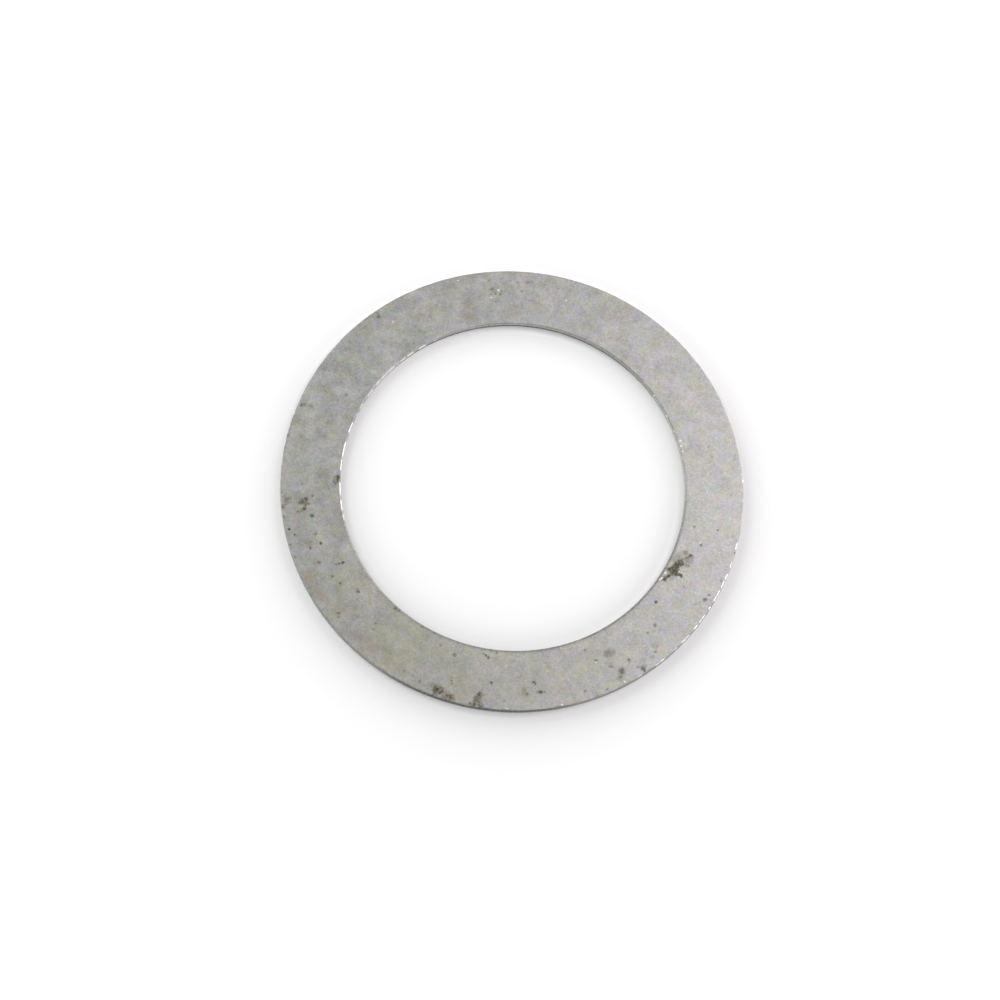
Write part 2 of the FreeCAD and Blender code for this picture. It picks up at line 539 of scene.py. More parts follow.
def arc_rows(centre, radius, turn, count, side, part, first, last):
    """Rows along an arc of the section, between two angles, without its end."""
    rows = []
    for step in range(count):
        share_of = step / count
        bearing = math.radians(turn[0] + (turn[1] - turn[0]) * share_of)
        across, up = radius * math.cos(bearing), radius * math.sin(bearing)
        rows.append(Row(centre[0] + across, centre[1] + up, side, part, blend(first, last, share_of)))
    return rows


def line_rows(start, end, count, side, part, first, last):
    """Rows along a straight stretch of the section, without its end."""
    rows = []
    for step in range(count):
        share_of = step / count
        radius = start[0] + (end[0] - start[0]) * share_of
        height = start[1] + (end[1] - start[1]) * share_of
        rows.append(Row(radius, height, side, part, blend(first, last, share_of)))
    return rows


def edge_rows(sizes, side):
    """Roll, land, tear and break of the rim, or, where side is -1, of the bore and upside down."""
    edge = sizes.rim if side > 0 else sizes.bore
    rim_parts = ("rim wall", "rim land", "rim wall")
    bore_parts = ("bore roll", "bore land", "bore wall")
    roll, land, wall = rim_parts if side > 0 else bore_parts
    base = 0 if side > 0 else sizes.thickness
    width, depth = sizes.roll_width, sizes.roll_depth
    bend = (width**2 + depth**2) / (2 * depth)
    span = math.degrees(math.asin(width / bend))
    corner = sizes.edge_break
    start = -90 * side
    foot = base + side * depth
    head = foot + side * sizes.land
    far = base + side * (sizes.thickness - corner)
    inner = edge - side * sizes.setback
    middle = (edge - side * width, base + side * bend)
    rows = arc_rows(middle, bend, (start, start + span), ROLL_ROWS, side, roll, *ROLLED)
    rows += line_rows((edge, foot), (edge, head), LAND_ROWS, side, land, LANDED, LANDED)
    rows += line_rows((edge, head), (inner, far), TEAR_ROWS, side, wall, TEAR_FOOT, TEAR_HEAD)
    middle = (inner - side * corner, far)
    turn = (start + 90, start + 180)
    rows += arc_rows(middle, corner, turn, BREAK_ROWS, side, wall, BROKEN, BROKEN)
    return rows


def section(sizes):
    """The rows of the section, anticlockwise from the bore's edge of the lower face."""
    bore, rim, thick = sizes.bore, sizes.rim, sizes.thickness
    inner = bore + sizes.setback + sizes.edge_break
    outer = rim - sizes.setback - sizes.edge_break
    rolled = bore + sizes.roll_width
    clean = (rolled + sizes.margin, outer - sizes.margin)

    def face(start, end, height, count, side=0, part="face", zones=(FACE, FACE)):
        return line_rows((start, height), (end, height), count, side, part, *zones)

    rows = face(inner, rim - sizes.roll_width, 0, UNDERSIDE_ROWS)
    rows += edge_rows(sizes, 1)
    rows += face(outer, clean[1], thick, MARGIN_ROWS, 1, "rim margin", (MARGIN, FACE))
    rows += face(clean[1], clean[0], thick, FACE_ROWS)
    rows += face(clean[0], rolled, thick, MARGIN_ROWS, -1, "bore roll", (FACE, ROLLED[0]))
    rows += edge_rows(sizes, -1)
    return rows


def ring_point(azimuth, radius, height):
    """The place at an azimuth in radians."""
    return Vector((radius * math.cos(azimuth), radius * math.sin(azimuth), height))


def wander(azimuth, row, bumps):
    """Smooth noise from -1 to 1 where a row of the section comes at an azimuth."""
    place = ring_point(azimuth, row.radius, row.height * bumps.upward) / bumps.size
    return noise.noise(place + Vector((bumps.seed,) * 3))


def place_row(sizes, row, azimuth):
    """Where a row of the section comes at an azimuth, with its chips, its tears and its slow waves."""
    radius, height = row.radius, row.height
    zone = row.zone
    if zone.chip:
        coarse = wander(azimuth, row, COARSE_CHIPS)
        fine = wander(azimuth, row, FINE_CHIPS)
        level = coarse * CHIP_COARSE + fine * CHIP_FINE - CHIP_LEVEL
        chip = max(0, level) * sizes.chips * zone.chip
        radius -= row.side * chip
        # Only the break itself also loses height to a chip.
        if zone.chip == 1:
            height -= row.side * chip / 2
    if zone.torn:
        streak = wander(azimuth, row, STREAKS)
        crumb = wander(azimuth, row, CRUMBLING)
        pit = (PIT_MEAN + streak * PIT_STREAK + crumb * PIT_CRUMB) * sizes.tear * zone.torn
        radius -= row.side * max(0, pit)
        wave = wander(azimuth, row, WAVES)
        height += row.side * wave * sizes.sway / 2 * zone.torn
    if zone.burnished:
        dimple = abs(wander(azimuth, row, DIMPLES))
        radius -= row.side * dimple * DIMPLE_DEPTH
    return ring_point(azimuth, radius, min(max(height, 0), sizes.thickness))


# Where marks and dashes fade out, as shares of their half width.
MARK_FADE = (0.45, 1.4)
DASH_FADE = (0.7, 1.3)

# Fine and slow noise that shifts the rims of the painted marks: the size of its bumps, and how
# far it shifts.
Shift = namedtuple("Shift", "size reach")
SHIFTS = (Shift(0.25 * MM, 0.06 * MM), Shift(0.7 * MM, 0.12 * MM))

# Without a seed the shifts would be others on each run.
SHIFT_SEED = 70


def eased(value, low, high):
    """Goes smoothly from 0 at low to 1 at high."""
    rise = numpy.clip((value - low) / (high - low), 0, 1)
    return rise * rise * (3 - 2 * rise)


def dirt_and_shade_round(count, spans):
    """How strongly a part of an edge is darkened at each step round the ring, partly as soiling and
    partly as painted shade.
    """
    azimuths = numpy.arange(count) * math.tau / count
    dirt_and_shade = numpy.zeros(count)
    for span in spans:
        towards = numpy.cos(azimuths - math.radians(span.azimuth))
        dirt_and_shade = numpy.maximum(dirt_and_shade, span.strength * eased(towards, span.low, span.high))
    return dirt_and_shade


def dashed(stage, dashes, count):
    """How strongly an edge is painted as glinting metal at each step round the ring."""
    pixel = pixel_size(stage)
    azimuths = numpy.arange(count) * math.tau / count
    bare = numpy.zeros(count)
    for dash in dashes:
        centre = on_face(stage, dash.across, dash.down)
        turn = numpy.angle(numpy.exp(1j * (azimuths - math.atan2(centre.y, centre.x))))
        away = numpy.abs(turn) * centre.xy.length / (dash.width * pixel / 2)
        bare = numpy.maximum(bare, dash.strength * numpy.interp(away, DASH_FADE, (1, 0)))
    return bare


def paint_zone(rows, name, around):
    """How strongly each point belongs to a zone, varied round the ring for each part of the edges."""
    return numpy.stack([getattr(row.zone, name) * around[row.part] for row in rows], axis=1).ravel()


def paint_marks(stage, points, groups):
    """How strongly each point is marked, with the rims of the marks shifted by noise."""
    pixel = pixel_size(stage)
    noise.seed_set(SHIFT_SEED)
    places = []
    for point in points:
        fine, slow = (noise.noise_vector(point / shift.size) * shift.reach for shift in SHIFTS)
        places.append(point + fine + slow)
    places = numpy.array(places)
    mask = numpy.zeros(len(places))
    for marks in groups.values():
        for mark in marks:
            centre = numpy.array(on_face(stage, mark.across, mark.down))
            reach = mark.width * pixel / 2
            away = numpy.linalg.norm(places - centre, axis=1) / reach
            mask = numpy.maximum(mask, mark.strength * (1 - eased(away, *MARK_FADE)))
    return mask


def ring_mesh(sizes, stage):
    """The section turned round the axis in small steps, with its zones and stains as attributes."""
    rows = section(sizes)
    count = sizes.segments
    points = []
    for step in range(count):
        azimuth = math.tau * step / count
        points += [place_row(sizes, row, azimuth) for row in rows]
    faces = []
    for step in range(count):
        here, there = step * len(rows), (step + 1) % count * len(rows)
        for index in range(len(rows)):
            after = (index + 1) % len(rows)
            faces.append((here + index, there + index, there + after, here + after))
    mesh = bpy.data.meshes.new("ring")
    mesh.from_pydata(points, [], faces)
    same = {part: numpy.ones(count) for part in DIRT_AND_SHADE}
    # The edges are darkened by dirt and by painted shade, and the dashes paint bare metal where the
    # edges glint.
    dirt_and_shade = {part: dirt_and_shade_round(count, spans) for part, spans in DIRT_AND_SHADE.items()}
    worn = {part: dashed(stage, DASHES.get(part, []), count) for part in DIRT_AND_SHADE}
    for name, around in (("torn", same), ("burnished", same), ("grime", dirt_and_shade), ("bare", worn)):
        zone = mesh.attributes.new(name, "FLOAT", "POINT")
        zone.data.foreach_set("value", paint_zone(rows, name, around))
    for name, groups in (("soil", SOIL), ("flush", FLUSH), ("film", FILM)):
        stain = mesh.attributes.new(name, "FLOAT", "POINT")
        stain.data.foreach_set("value", paint_marks(stage, points, groups))
    mesh.shade_smooth()
    mesh.validate()
    return mesh


# Marks on the upper face, where the photograph shows them: pixels across and down, width in
# pixels, and strength from 0 to 1.

Mark = namedtuple("Mark", "across down width strength")

RUST = {
    "specks on the right": [
        Mark(701, 545, 3.2, 0.75), Mark(735, 553, 3, 0.6), Mark(718, 530, 2.4, 0.45),
        Mark(694, 527, 2.4, 0.4), Mark(656, 602, 3.2, 0.75), Mark(705, 599.5, 4, 0.6),
        Mark(709, 595, 2.8, 0.5), Mark(721, 581, 2.6, 0.4), Mark(684, 587, 2, 0.4),
        Mark(709, 611, 2.8, 0.4), Mark(696, 604, 2.6, 0.3), Mark(709, 446.5, 2.4, 0.4),
        Mark(712, 457, 2.2, 0.35),
    ],
    "specks on the lower right": [
        Mark(655, 625, 3.4, 0.45), Mark(648, 633, 3, 0.45), Mark(655, 652, 3.4, 0.4),
        Mark(643, 668.5, 5, 0.6), Mark(644.5, 670.5, 3, 0.7), Mark(628.6, 659.6, 3, 0.55),
        Mark(622, 671.5, 5.5, 0.5), Mark(621, 677, 3.5, 0.35), Mark(609.5, 666.5, 2.4, 0.5),
        Mark(612.5, 667.2, 2.6, 0.5), Mark(596, 660.5, 3, 0.6), Mark(585, 650, 2.6, 0.4),
        Mark(585, 691, 2.6, 0.45), Mark(607, 689, 2.4, 0.35), Mark(638, 667, 3, 0.35),
    ],
    "specks at the foot": [
        Mark(534, 683, 4, 0.75), Mark(541, 692, 4.5, 0.8), Mark(537.5, 692, 2.4, 0.4),
        Mark(545, 692, 2.2, 0.4), Mark(527.5, 694, 3.2, 0.45), Mark(505, 701, 2.4, 0.35),
        Mark(491.5, 682.8, 3, 0.65), Mark(484, 653.6, 2, 0.4), Mark(486, 655.4, 2.6, 0.75),
        Mark(488, 657.4, 2.8, 0.75), Mark(454.5, 655, 3.4, 0.5), Mark(452, 677.5, 2, 0.45),
        Mark(451.6, 680.5, 2.2, 0.55), Mark(451.8, 683.5, 2, 0.45), Mark(420, 681.5, 3, 0.45),
        Mark(404, 671, 2.4, 0.4), Mark(413, 676, 2.4, 0.35), Mark(497, 653, 2.6, 0.4),
        Mark(441, 645, 3, 0.35),
    ],
    "bore edge on the lower left": [
        Mark(395.5, 608.5, 4.5, 0.55), Mark(399, 610.5, 3, 0.4), Mark(422, 626.7, 3, 0.35),
        Mark(434, 633, 3, 0.3),
    ],
    "specks on the lower left": [
        Mark(289.5, 529.2, 3, 0.95), Mark(294.9, 535.1, 2.6, 0.7), Mark(312, 515.8, 4.2, 0.8),
        Mark(315.8, 534, 4, 0.5), Mark(320.6, 543.2, 3.2, 0.8), Mark(309.9, 548.5, 3, 0.65),
        Mark(319.2, 562.5, 3.4, 0.55), Mark(332.4, 576.5, 3.2, 0.6), Mark(340.4, 583.5, 2.6, 0.55),
        Mark(336, 564.2, 2.4, 0.5), Mark(339.5, 563.8, 2.8, 0.65), Mark(343, 562.8, 3.6, 0.8),
        Mark(358, 591.6, 3.4, 0.6), Mark(357, 589, 2.4, 0.4), Mark(370.5, 604, 2.4, 0.35),
        Mark(338.2, 613, 3, 0.5), Mark(338.3, 617, 2.6, 0.45), Mark(375.7, 623, 2.2, 0.4),
        Mark(373.5, 629, 2, 0.35), Mark(312, 594, 3.4, 0.4),
    ],
    "smudges on the upper left": [
        Mark(301.5, 405, 4, 0.6), Mark(304.5, 404.5, 4, 0.5), Mark(311.4, 406, 3.4, 0.3),
        Mark(378.6, 316.3, 4, 0.5), Mark(377, 313, 3, 0.35), Mark(368.6, 347.8, 3.2, 0.35),
        Mark(414, 343.7, 3.2, 0.4), Mark(356, 378.5, 3, 0.3), Mark(346, 395, 2.8, 0.35),
        Mark(302, 484, 3, 0.35), Mark(287.9, 435.6, 3.2, 0.45),
    ],
    "specks at the top": [
        Mark(492, 289, 3.4, 0.45), Mark(495.5, 293.4, 2.8, 0.4), Mark(500.5, 294, 3, 0.5),
        Mark(489, 280.5, 3, 0.35), Mark(522, 291, 2.6, 0.35), Mark(509, 293, 2.6, 0.3),
        Mark(528, 282, 4, 0.35), Mark(531, 282, 3, 0.3), Mark(501.2, 290.8, 2, 0.6),
        Mark(491, 294.3, 2.2, 0.5), Mark(517.5, 282.5, 3, 0.3),
    ],
    "notches on the left of the rim": [
        Mark(281.7, 492.6, 2, 0.5), Mark(284, 516.8, 2.4, 0.5), Mark(290.5, 544.6, 2.4, 0.5),
        Mark(295, 557, 3, 0.5),
    ],
}

BLOTS = {
    "blot by the bore": [
        Mark(675.5, 567.5, 7, 0.9), Mark(679, 563, 5.5, 0.8), Mark(683.5, 564.5, 4, 0.45),
        Mark(671.5, 572.5, 6, 0.7), Mark(682.5, 559.5, 4, 0.4), Mark(686.5, 558, 4, 0.5),
        Mark(691, 555.8, 3.5, 0.8), Mark(678, 573, 3.5, 0.7), Mark(680.8, 575.8, 3, 1.0),
        Mark(668.5, 576.5, 3, 0.7), Mark(664.5, 578.8, 4, 1.0), Mark(687.5, 565.2, 3.5, 0.6),
        Mark(668, 568.5, 5, 0.35), Mark(676, 575.5, 3.5, 0.5),
    ],
    "smudge at the foot": [
        Mark(477, 697.5, 6, 0.7), Mark(480.8, 693, 4, 0.6), Mark(482, 688.5, 3, 0.3),
        Mark(476, 702.5, 5, 0.45), Mark(483.5, 697, 4, 0.35), Mark(472, 705, 5, 0.6),
        Mark(481.5, 706, 5.5, 0.75), Mark(486, 694, 3, 0.3), Mark(467, 703, 4, 0.45),
    ],
    "blot at the foot": [
        Mark(438.5, 687.5, 8, 0.5), Mark(441.5, 690, 5, 0.3), Mark(434, 685, 4, 0.3),
        Mark(435, 693.5, 7, 0.55), Mark(446.5, 694, 7, 0.4), Mark(452.5, 696, 5, 0.35),
        Mark(449.5, 699.5, 6, 0.5), Mark(443, 697.5, 5, 0.35), Mark(455, 701, 4, 0.3),
    ],
    "stain on the left of the rim": [
        Mark(283.7, 496, 5, 0.35), Mark(289.5, 500, 6, 0.45), Mark(284.5, 503, 6, 0.3),
        Mark(282.8, 508, 3.5, 0.6), Mark(290.5, 497, 3, 0.3),
    ],
    "branching stain": [
        Mark(301.5, 502, 5, 0.7), Mark(305, 499.5, 4, 0.5), Mark(307.5, 498.3, 4, 0.55),
        Mark(312.8, 495.7, 3, 0.75), Mark(304.8, 507.8, 3.5, 0.55), Mark(305, 511, 4, 0.35),
        Mark(300, 511.7, 4, 0.4), Mark(297.3, 511.8, 3, 0.35), Mark(299.5, 504.5, 3, 0.3),
        Mark(309, 503.7, 3.5, 0.65), Mark(305, 504, 3.5, 0.5),
    ],
    "stain on the left of the bore": [
        Mark(338.3, 477.5, 4, 0.5), Mark(335, 482.5, 5, 0.45), Mark(336, 475.5, 5, 0.25),
        Mark(337, 480, 6, 0.25), Mark(333, 478, 5, 0.2),
    ],
}

SOIL = {
    "round the blot": [
        Mark(685, 553, 7, 0.75), Mark(688, 560, 7, 0.6), Mark(677, 559, 11, 0.5),
        Mark(691, 557, 6, 0.5), Mark(672, 575, 10, 0.4), Mark(692, 562, 5, 0.3),
    ],
    "lower right": [
        Mark(609, 654, 8, 0.7), Mark(613, 653, 5, 0.5), Mark(606, 655, 5, 0.45),
        Mark(655, 645, 6, 0.4), Mark(652, 657, 5, 0.35), Mark(622, 671, 8, 0.55),
        Mark(624, 617, 8, 0.25), Mark(643, 660, 6, 0.25),
        Mark(620.5, 678, 5, 0.5), Mark(629, 660, 5, 0.35), Mark(643, 667, 7, 0.35),
        Mark(596, 695, 7, 0.25),
    ],
    "foot": [
        Mark(437, 690, 10, 0.9), Mark(432, 686, 6, 0.5), Mark(447, 696, 10, 0.65),
        Mark(453, 696, 6, 0.4), Mark(478, 699, 10, 0.4), Mark(524, 691, 6, 0.5),
        Mark(528, 694, 4, 0.4), Mark(541, 691, 7, 0.25), Mark(534, 682, 6, 0.25),
        Mark(549, 666, 5, 0.25), Mark(454, 655, 5, 0.3),
    ],
    "left": [
        Mark(309, 544, 8, 0.45), Mark(338.3, 614, 6, 0.5), Mark(286, 499, 9, 0.6),
        Mark(283.5, 506, 7, 0.5), Mark(302, 503, 8, 0.5), Mark(304, 509, 7, 0.5),
        Mark(308, 497, 6, 0.4), Mark(337, 479, 8, 0.55), Mark(335, 484, 6, 0.5),
        Mark(285.3, 447.9, 5, 0.3), Mark(296, 455, 8, 0.15),
    ],
    "top": [
        Mark(302, 405, 6, 0.3), Mark(311, 406, 7, 0.25), Mark(379, 316, 6, 0.45),
        Mark(375, 312, 5, 0.3), Mark(490, 281, 8, 0.3), Mark(494, 290, 10, 0.35),
        Mark(510, 280, 6, 0.25),
    ],
}

FLUSH = {
    "left of the rim": [
        Mark(307.5, 578, 11, 0.6), Mark(304, 573, 7, 0.4), Mark(321.5, 597, 12, 0.5),
        Mark(328, 600, 8, 0.35), Mark(316, 590, 8, 0.35), Mark(340, 611, 11, 0.45),
        Mark(338, 604, 7, 0.35), Mark(358, 636, 13, 0.4), Mark(366, 640, 10, 0.45),
        Mark(372.5, 648, 13, 0.5), Mark(384.5, 660, 12, 0.5), Mark(393, 667, 12, 0.45),
        Mark(399, 668, 8, 0.35), Mark(370.5, 600, 5, 0.45), Mark(319, 558, 7, 0.3),
        Mark(310, 546, 7, 0.25), Mark(284, 517.5, 5, 0.45), Mark(305, 511, 4, 0.35),
        Mark(362.5, 647.5, 7, 0.5), Mark(299, 483, 7, 0.35),
    ],
    "foot and right": [
        Mark(560, 684, 9, 0.35), Mark(566, 690, 8, 0.25), Mark(622, 670, 8, 0.5),
        Mark(585, 651, 5, 0.35), Mark(588, 654, 7, 0.35), Mark(413, 676, 5, 0.2),
        Mark(655, 625, 6, 0.3), Mark(709, 599, 6, 0.25), Mark(710, 594, 4, 0.2),
        Mark(655, 612, 8, 0.2), Mark(685, 633, 10, 0.4), Mark(690, 625, 8, 0.2),
        Mark(590, 660, 7, 0.3),
        Mark(530, 669, 5, 0.2), Mark(474, 704, 6, 0.3), Mark(714, 411, 10, 0.2),
    ],
    "top": [
        Mark(593, 316, 8, 0.2), Mark(528, 282, 6, 0.3),
    ],
}

FILM = {
    "patches": [
        Mark(354, 588, 9, 0.5), Mark(345, 590, 6, 0.3), Mark(336, 531, 10, 0.3),
        Mark(341, 577, 8, 0.3), Mark(332, 577, 6, 0.3), Mark(386, 623, 12, 0.25),
        Mark(376, 624, 8, 0.3), Mark(371, 639, 9, 0.3), Mark(541, 307, 9, 0.3),
        Mark(569.5, 324.5, 8, 0.5), Mark(317, 509, 7, 0.2), Mark(440, 640, 14, 0.25),
        Mark(455, 655, 10, 0.25), Mark(500, 660, 16, 0.2), Mark(530, 655, 14, 0.2),
        Mark(512, 699, 8, 0.5), Mark(637, 663, 7, 0.45), Mark(626, 633, 8, 0.45),
        Mark(385, 617, 8, 0.5), Mark(402, 672.5, 8, 0.55), Mark(434, 682, 6, 0.4),
        Mark(345, 560, 8, 0.5),
    ],
    "broad stain": [
        Mark(340, 590, 60, 0.22), Mark(400, 645, 70, 0.32), Mark(460, 670, 60, 0.28),
        Mark(530, 680, 60, 0.22), Mark(600, 665, 60, 0.15),
    ],
}

# Flecks of bare, bright metal; those on the right of the bore are painted glints.
FLECKS_AND_GLINTS = {
    "chips in the blot": [
        Mark(665.5, 573, 2.4, 1.0), Mark(662, 578, 2.4, 0.9), Mark(660, 579.5, 2.2, 0.6),
        Mark(679, 571.5, 2.4, 0.6),
    ],
    "specks": [
        Mark(458, 280.3, 2, 0.8), Mark(393.2, 322, 2, 0.6), Mark(498.5, 290.3, 2, 0.9),
        Mark(491.3, 297.8, 1.8, 0.7), Mark(566, 300, 2, 0.6), Mark(533.7, 684, 1.7, 0.5),
        Mark(561.7, 704.5, 2.6, 0.8), Mark(507, 708.7, 2, 0.6), Mark(625, 682, 2.4, 0.7),
        Mark(700, 542.5, 1.8, 0.6), Mark(596, 662, 1.8, 0.5),
        Mark(561, 648, 2, 0.5),
    ],
    "chips on the right of the bore": [
        Mark(636, 380, 2.2, 0.7), Mark(653.8, 395.6, 2.2, 0.9), Mark(666.4, 416, 2.2, 0.9),
        Mark(674, 431.5, 2.2, 0.8), Mark(680.3, 441, 2, 0.7), Mark(681.5, 446, 2, 0.7),
        Mark(682.8, 451.5, 2, 0.7),
    ],
}

# Dashes of bare, bright metal along the edges, painted where the edges glint, as marks whose width is
# the dash's length.

BORE_BACK = [
    Mark(436, 340, 4, 0.5), Mark(423, 347.3, 9, 1.0), Mark(411, 354.5, 9, 1.0),
    Mark(404, 360, 8, 0.9), Mark(398, 363.5, 5, 0.6), Mark(388, 372.5, 23, 0.9),
    Mark(378.5, 382.5, 7, 1.0), Mark(371.3, 393, 10, 0.9), Mark(361.5, 406, 8, 0.8),
    Mark(357, 414, 5, 0.7),
]
BORE_LEFT = [
    Mark(351, 427.5, 13, 1.0), Mark(344.5, 449, 19, 1.0), Mark(341.5, 464.5, 14, 0.9),
    Mark(340, 488.5, 15, 0.9), Mark(341.6, 505, 13, 0.9), Mark(343.6, 516.5, 8, 0.8),
]
# The same dashes are weaker on the roll than on the land.
ON_ROLL = 0.8
BORE_BACK_ROLL = [mark._replace(strength=mark.strength * ON_ROLL) for mark in BORE_BACK]
RIM_GLINTS = [
    Mark(744, 481, 4, 0.7), Mark(737.5, 547, 7, 1.0), Mark(732.5, 565.5, 8, 0.7),
    Mark(727.7, 577.5, 6, 1.0), Mark(723.5, 585, 8, 1.0), Mark(718, 596.5, 13, 1.0),
    Mark(710, 608.4, 3, 1.0), Mark(703, 619, 11, 0.9), Mark(697, 628, 6, 1.0),
    Mark(685, 638.6, 12, 1.0), Mark(676, 649, 4, 0.8), Mark(660.4, 662.5, 14, 0.8),
    Mark(640, 676.5, 7, 0.6),
]
DASHES = {
    "bore roll": BORE_BACK_ROLL + BORE_LEFT,
    "bore land": BORE_BACK,
    "rim margin": RIM_GLINTS,
    "rim wall": RIM_GLINTS,
}


# The ring's steel

# The noises in the finish: about how many millimetres their clouds are across, how much detail
# these have, and how strong it is.
Clouds = namedtuple("Clouds", "size detail roughness")
SHADES = Clouds(1.1, 5, 0.8)
HUES = Clouds(0.8, 5, 0.62)
GRAIN = Clouds(0.09, 1, 0.5)
CRUMBS = Clouds(0.14, 1, 0.5)
RAGS = Clouds(0.2, 2, 0.5)
GLINTS = Clouds(0.12, 1, 0.5)

# Noise keeps near this middle, so its swing is stretched.
MIDDLE = 0.5
STRETCH = 4
FINE_STRETCH = 2

# The whole swing along X, Y and Z, in millimetres, by which noise shifts the rims of the marks.
RAG_REACH = (0.22, 0.22, 0)

# How much the coloured clouds swing in red, green and blue.
HUE_SWING = (0.45, 0.35, 1.15)

# The levels of noise between which a glint opens, and how much it brightens.
GLINT_OPENS = (0.64, 0.8)
GLINT = 0.3

# The levels between which a dash is painted as bare, glinting metal.
BARE_AND_GLINT_OPENS = (0.3, 0.8)

# How much of a layer is left on average, and how strongly the crumbs break it up.
Layer = namedtuple("Layer", "mean swing")
FILM_LAYER = Layer(0.7, 1.2)
GRIME_AND_SHADE_LAYER = Layer(0.85, 1.2)

# How far a blot reaches, as a share of its mark's width, and how strongly the crumbs break up
# the blot and its dark core. The depths are those between which each of them closes.
BLOT_REACH = 1.15
BLOT_CRUMBS = 0.7
BLOT_DEPTHS = (0.2, 0.75)
CORE_CRUMBS = 1.4
CORE_DEPTHS = (0.45, 1.05)
BLOT_COVER = 0.92

# How much of the steel's metallic look each kind of dirt takes, the painted shade on the edges
# included.
RUST_DULLS = 0.9
SOIL_DULLS = 0.6
GRIME_AND_SHADE_DULLS = 0.5

# What is added to the roughness by the clouds and by dirt, and taken off on the dashes of bare metal
# that are painted where the edges glint.
CLOUD_ROUGH = 0.3
DIRT_ROUGH = 0.25
BARE_AND_GLINT_SMOOTH = 0.2

# The grain and the crumbs as relief.
BUMP_STRENGTH = 0.35
BUMP_DEPTH = 0.006 * MM


def marked(shader, stage, place, groups):
    """A mask of marks: each fades smoothly at its rim, and the strongest one counts."""
    pixel = pixel_size(stage) / MM
    mask = None
    for marks in groups.values():
        for mark in marks:
            centre = on_face(stage, mark.across, mark.down) / MM
            away = shader.vector("DISTANCE", place, tuple(centre), output="Value")
            reach = mark.width * pixel / 2
            dab = shader.dab(away, reach * MARK_FADE[0], reach * MARK_FADE[1], mark.strength)
            mask = dab if mask is None else mask.over(dab)
    return mask


def blotted(shader, stage, place, groups, loose):
    """The depth of larger stains: marks that add up where they meet, broken up by loose crumbs."""
    pixel = pixel_size(stage) / MM
    total = loose * BLOT_CRUMBS
    for marks in groups.values():
        for mark in marks:
            centre = on_face(stage, mark.across, mark.down) / MM
            away = shader.vector("DISTANCE", place, tuple(centre), output="Value")
            total = total + shader.dab(away, 0, mark.width * pixel * BLOT_REACH, mark.strength)
    return total


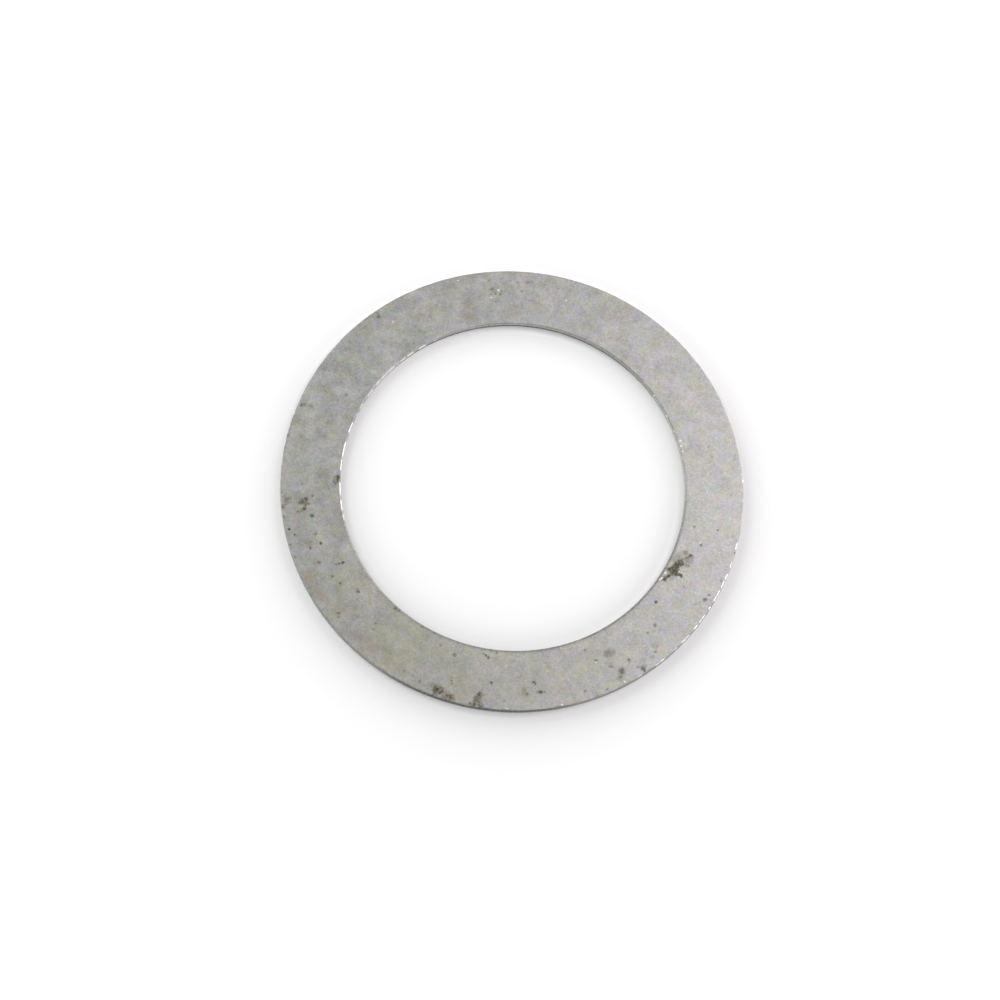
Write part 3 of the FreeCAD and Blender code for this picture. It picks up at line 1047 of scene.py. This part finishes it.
def steel_material(finish, stage):
    """Cold-rolled steel, clouded and grained, with rust, soil, thin films and specks of clean metal,
    painted glints on its edges, and its edges darkened by soiling and painted shade.
    """
    material = bpy.data.materials.new("worn_steel")
    shader = Shader(material)
    place = shader.node("ShaderNodeTexCoord", None, None, "Object")
    sockets = {"Vector": place, "Scale": (1 / MM,) * 3}
    place = shader.node("ShaderNodeMapping", {"vector_type": "POINT"}, sockets)

    # Marks have ragged rims, because they are looked up at places that noise has shifted.
    ragged = shader.vector("SUBTRACT", shader.noise(place, RAGS, "Color"), (MIDDLE,) * 3)
    shifted = shader.vector("MULTIPLY_ADD", ragged, RAG_REACH, place)

    shades = shader.noise(place, SHADES) - MIDDLE
    hues = shader.vector("SUBTRACT", shader.noise(place, HUES, "Color"), (MIDDLE,) * 3)
    grain = shader.noise(place, GRAIN)
    crumbs = shader.noise(place, CRUMBS)
    loose = crumbs - MIDDLE
    glints = shader.noise(shifted, GLINTS).rise(*GLINT_OPENS)

    level = 1 + shades * finish.mottle * STRETCH
    level = level + (grain - MIDDLE) * finish.grain * FINE_STRETCH + glints * GLINT
    swing = tuple(finish.tint * STRETCH * part for part in HUE_SWING)
    tinted = shader.vector("MULTIPLY_ADD", hues, swing, (1, 1, 1))
    tinted = shader.vector("MULTIPLY", tinted, tuple(finish.steel))
    steel = shader.node("ShaderNodeVectorMath", {"operation": "SCALE"}, {0: tinted, "Scale": level})

    rust = marked(shader, stage, shifted, RUST)
    flecks_and_glints = marked(shader, stage, shifted, FLECKS_AND_GLINTS)
    depth = blotted(shader, stage, shifted, BLOTS, loose)
    blots = depth.rise(*BLOT_DEPTHS)
    soil = shader.attribute("soil")
    flush = shader.attribute("flush")
    film = shader.attribute("film")
    torn = shader.attribute("torn")
    burnished = shader.attribute("burnished")
    bare = shader.attribute("bare").rise(*BARE_AND_GLINT_OPENS)
    # The edges are darkened with dirt and with painted shade, except on the dashes of bare metal
    # painted where they glint.
    grime = shader.attribute("grime") * (GRIME_AND_SHADE_LAYER.mean + loose * GRIME_AND_SHADE_LAYER.swing) * (1 - bare)

    left = FILM_LAYER.mean + loose * FILM_LAYER.swing
    steel = shader.mix(film * left, steel, solid(finish.olive))
    steel = shader.mix(flush * left, steel, solid(finish.flush))
    steel = shader.mix(burnished, steel, solid(finish.polish))
    steel = shader.mix(torn, steel, solid(finish.torn))
    steel = shader.mix(soil * left, steel, solid(finish.soil))
    steel = shader.mix(grime, steel, solid(finish.grime))
    core = (depth + loose * CORE_CRUMBS).rise(*CORE_DEPTHS)
    stain = shader.mix(core, solid(finish.soil), solid(finish.blot))
    steel = shader.mix(blots * BLOT_COVER, steel, stain)
    steel = shader.mix(rust, steel, solid(finish.rust))
    # Bare flecks, and the painted glints on the edges, are laid in bright metal.
    shine = flecks_and_glints.over(bare)
    steel = shader.mix(shine, steel, solid(finish.fleck_and_glint))

    dull = rust.over(blots) * RUST_DULLS
    metal = 1 - dull.over(soil * SOIL_DULLS).over(grime * GRIME_AND_SHADE_DULLS) * (1 - shine)
    rough = finish.roughness + shades * CLOUD_ROUGH
    rough = rough + burnished * (finish.land_roughness - finish.roughness)
    rough = rough + torn * (finish.torn_roughness - finish.roughness)
    rough = rough + dull.over(soil) * DIRT_ROUGH - bare * BARE_AND_GLINT_SMOOTH
    height = (grain + crumbs) / 2
    bumps = {"Strength": BUMP_STRENGTH, "Distance": BUMP_DEPTH, "Height": height}
    bump = shader.node("ShaderNodeBump", None, bumps)
    surface = shader.node(
        "ShaderNodeBsdfPrincipled",
        None,
        {"Base Color": steel, "Metallic": metal, "Roughness": rough, "Normal": bump},
    )
    shader.node("ShaderNodeOutputMaterial", None, {"Surface": surface})
    return material


class SHIM_OT_set_stage(bpy.types.Operator):
    """Lays the white table, lights it and stands the camera over it"""

    bl_idname = "shim.set_stage"
    bl_label = "Set the stage"

    def execute(self, context):
        stage = context.scene.shim_stage
        context.scene.view_settings.view_transform = "Standard"
        place_camera(stage)
        light_sky(stage)
        for lamp in LAMPS:
            place_lamp(lamp, stage.lamps)
        lay_table(stage)
        return {"FINISHED"}


class SHIM_OT_make_ring(bpy.types.Operator):
    """Turns the worn section into the ring and gives it its steel"""

    bl_idname = "shim.make_ring"
    bl_label = "Make the ring"

    def execute(self, context):
        scene = context.scene
        mesh = ring_mesh(scene.shim_sizes, scene.shim_stage)
        mesh.materials.append(steel_material(scene.shim_finish, scene.shim_stage))
        ring = bpy.data.objects.new("steel_ring", mesh)
        scene.collection.objects.link(ring)
        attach(ring, BODY)
        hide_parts(NODE)
        return {"FINISHED"}


class SHIM_PT_builder(bpy.types.Panel):
    """The sizes, the finish and the stage, with a button for each operator"""

    bl_label = "Shim Ring"
    bl_idname = "SHIM_PT_builder"
    bl_space_type = "VIEW_3D"
    bl_region_type = "UI"
    bl_category = "Shim Ring"

    def draw(self, context):
        scene = context.scene
        groups = {"Sizes": scene.shim_sizes, "Finish": scene.shim_finish, "Stage": scene.shim_stage}
        for title, group in groups.items():
            box = self.layout.box()
            box.label(text=title)
            for name in group.bl_rna.properties.keys():
                if name not in {"rna_type", "name"}:
                    box.prop(group, name)
        for operator in OPERATORS:
            self.layout.operator(operator.bl_idname)


GROUPS = {"shim_sizes": RingSizes, "shim_finish": SteelFinish, "shim_stage": StageSettings}
OPERATORS = (SHIM_OT_set_stage, SHIM_OT_make_ring)


def register():
    for name, group in GROUPS.items():
        bpy.utils.register_class(group)
        setattr(bpy.types.Scene, name, PointerProperty(type=group))
    for operator in OPERATORS:
        bpy.utils.register_class(operator)
    bpy.utils.register_class(SHIM_PT_builder)


def unregister():
    bpy.utils.unregister_class(SHIM_PT_builder)
    for operator in reversed(OPERATORS):
        bpy.utils.unregister_class(operator)
    for name, group in GROUPS.items():
        delattr(bpy.types.Scene, name)
        bpy.utils.unregister_class(group)


def main():
    register()
    bpy.ops.shim.set_stage()
    bpy.ops.shim.make_ring()


if __name__ == "__main__":
    main()
